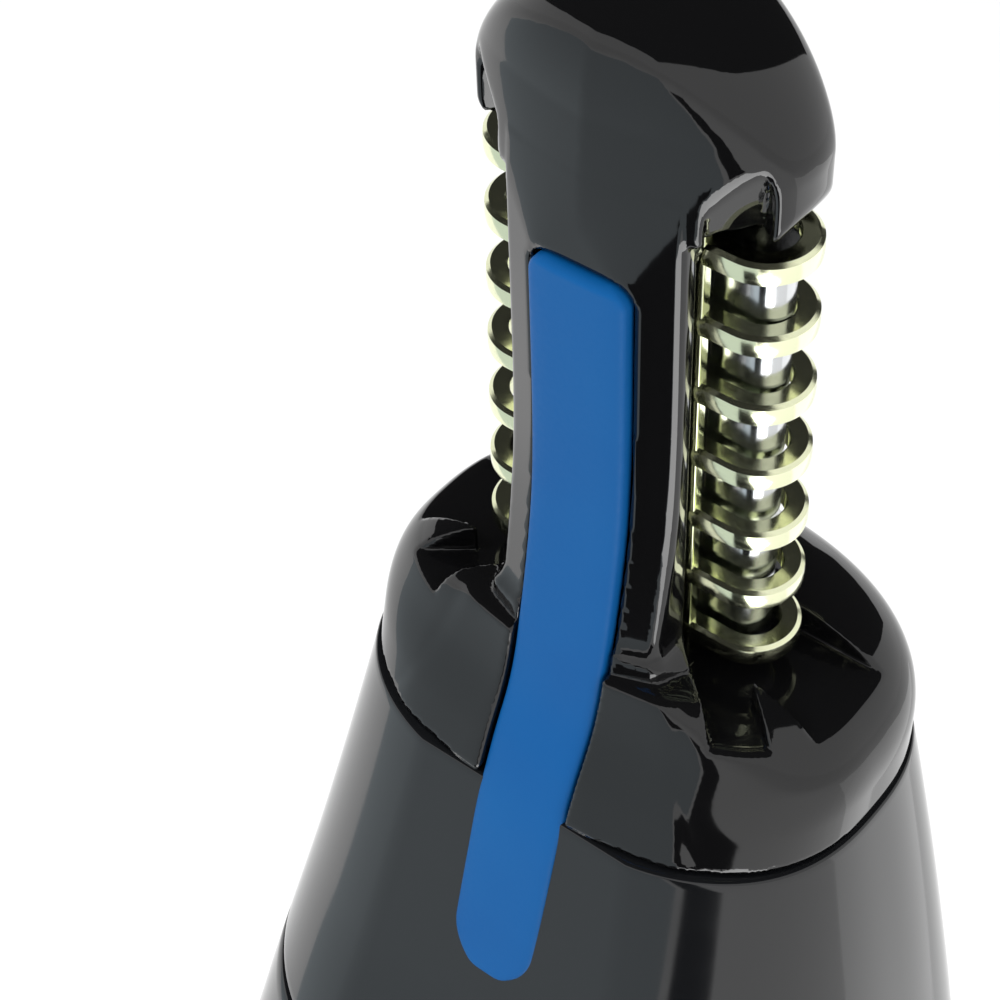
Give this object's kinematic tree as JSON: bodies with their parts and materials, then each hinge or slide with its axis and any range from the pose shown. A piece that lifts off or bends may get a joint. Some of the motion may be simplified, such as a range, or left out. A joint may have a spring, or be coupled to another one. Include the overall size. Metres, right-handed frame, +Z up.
{
  "type": "nose hair trimmer",
  "caption": "Slim battery nose hair trimmer with a forward-leaning ribbed head, a soft front strip, a thumb switch and a pull-off battery cap.",
  "frame": {"origin": "middle of the flat face under the battery cap, which the trimmer stands on", "axes": "+Z up along the handle, -Y the front with the thumb switch, +X to the right seen from the front"},
  "size_m": [0.0238, 0.0217, 0.1372],
  "materials": {
    "black_plastic": "polished black moulded plastic",
    "grey_plastic": "polished near-black moulded plastic",
    "blue_rubber": "satin blue moulded rubber",
    "dark_rubber": "matt charcoal rubber",
    "drive_plastic": "natural moulded plastic",
    "blade_steel": "polished stainless steel",
    "comb_steel": "polished steel with a pale straw tint",
    "motor_steel": "plated motor can",
    "contact_brass": "stamped spring brass",
    "cell_wrap": "plain printed film on a battery cell"
  },
  "bodies": {
    "handle": {"front_shell": "grey_plastic", "rear_shell": "grey_plastic", "neck_collar": "grey_plastic", "collar_seal": "dark_rubber", "thumb_panel": "dark_rubber", "rear_grip": "dark_rubber", "shell_screw_upper": "blade_steel", "shell_screw_lower": "blade_steel", "switch_contact": "contact_brass", "motor_can": "motor_steel", "motor_end_bell": "drive_plastic", "motor_terminal_left": "contact_brass", "motor_terminal_right": "contact_brass", "motor_cradle": "drive_plastic", "battery_tube": "drive_plastic", "battery_cell": "cell_wrap", "positive_contact": "contact_brass", "bus_strip": "contact_brass"},
    "cutting_head": {"head_tower": "black_plastic", "head_skirt": "grey_plastic", "front_strip": "blue_rubber", "guard_comb_right": "comb_steel", "guard_comb_left": "comb_steel", "bearing_plate": "grey_plastic"},
    "blades": {"cutter_blade_right": "blade_steel", "cutter_blade_left": "blade_steel", "blade_carriage": "drive_plastic", "follower_pin": "blade_steel"},
    "cam": {"barrel_cam": "drive_plastic", "cam_shaft": "blade_steel", "drive_cup": "drive_plastic"},
    "rotor": {"motor_shaft": "blade_steel", "drive_dog": "blade_steel"},
    "switch": {"switch_button": "blue_rubber", "switch_wiper": "contact_brass"},
    "cap": {"battery_cap": "grey_plastic", "cap_contact": "contact_brass", "negative_spring": "blade_steel", "cap_seal": "dark_rubber"}
  },
  "joints": [
    {"name": "head_pull", "type": "slide", "parent": "handle", "child": "cutting_head", "axis": [0, -0.2588, 0.9659], "range_m": [0, 0.014]},
    {"name": "blade_slide", "type": "slide", "parent": "cutting_head", "child": "blades", "axis": [0, -0.2588, 0.9659], "range_m": [-0.0004, 0.0004]},
    {"name": "motor_spin", "type": "hinge", "parent": "handle", "child": "rotor", "pos_m": [0, -0.00101, 0.10916], "axis": [0, 0, 1], "continuous": true},
    {"name": "cam_spin", "type": "hinge", "parent": "cutting_head", "child": "cam", "pos_m": [0, -0.00101, 0.10916], "axis": [0, -0.2588, 0.9659], "continuous": true},
    {"name": "switch_slide", "type": "slide", "parent": "handle", "child": "switch", "axis": [0, 0, 1], "range_m": [0, 0.004]},
    {"name": "cap_pull", "type": "slide", "parent": "handle", "child": "cap", "axis": [0, 0, -1], "range_m": [0, 0.022]}
  ],
  "couplings": [
    {"joint": "motor_spin", "follows": "cam_spin", "ratio": 1}
  ]
}
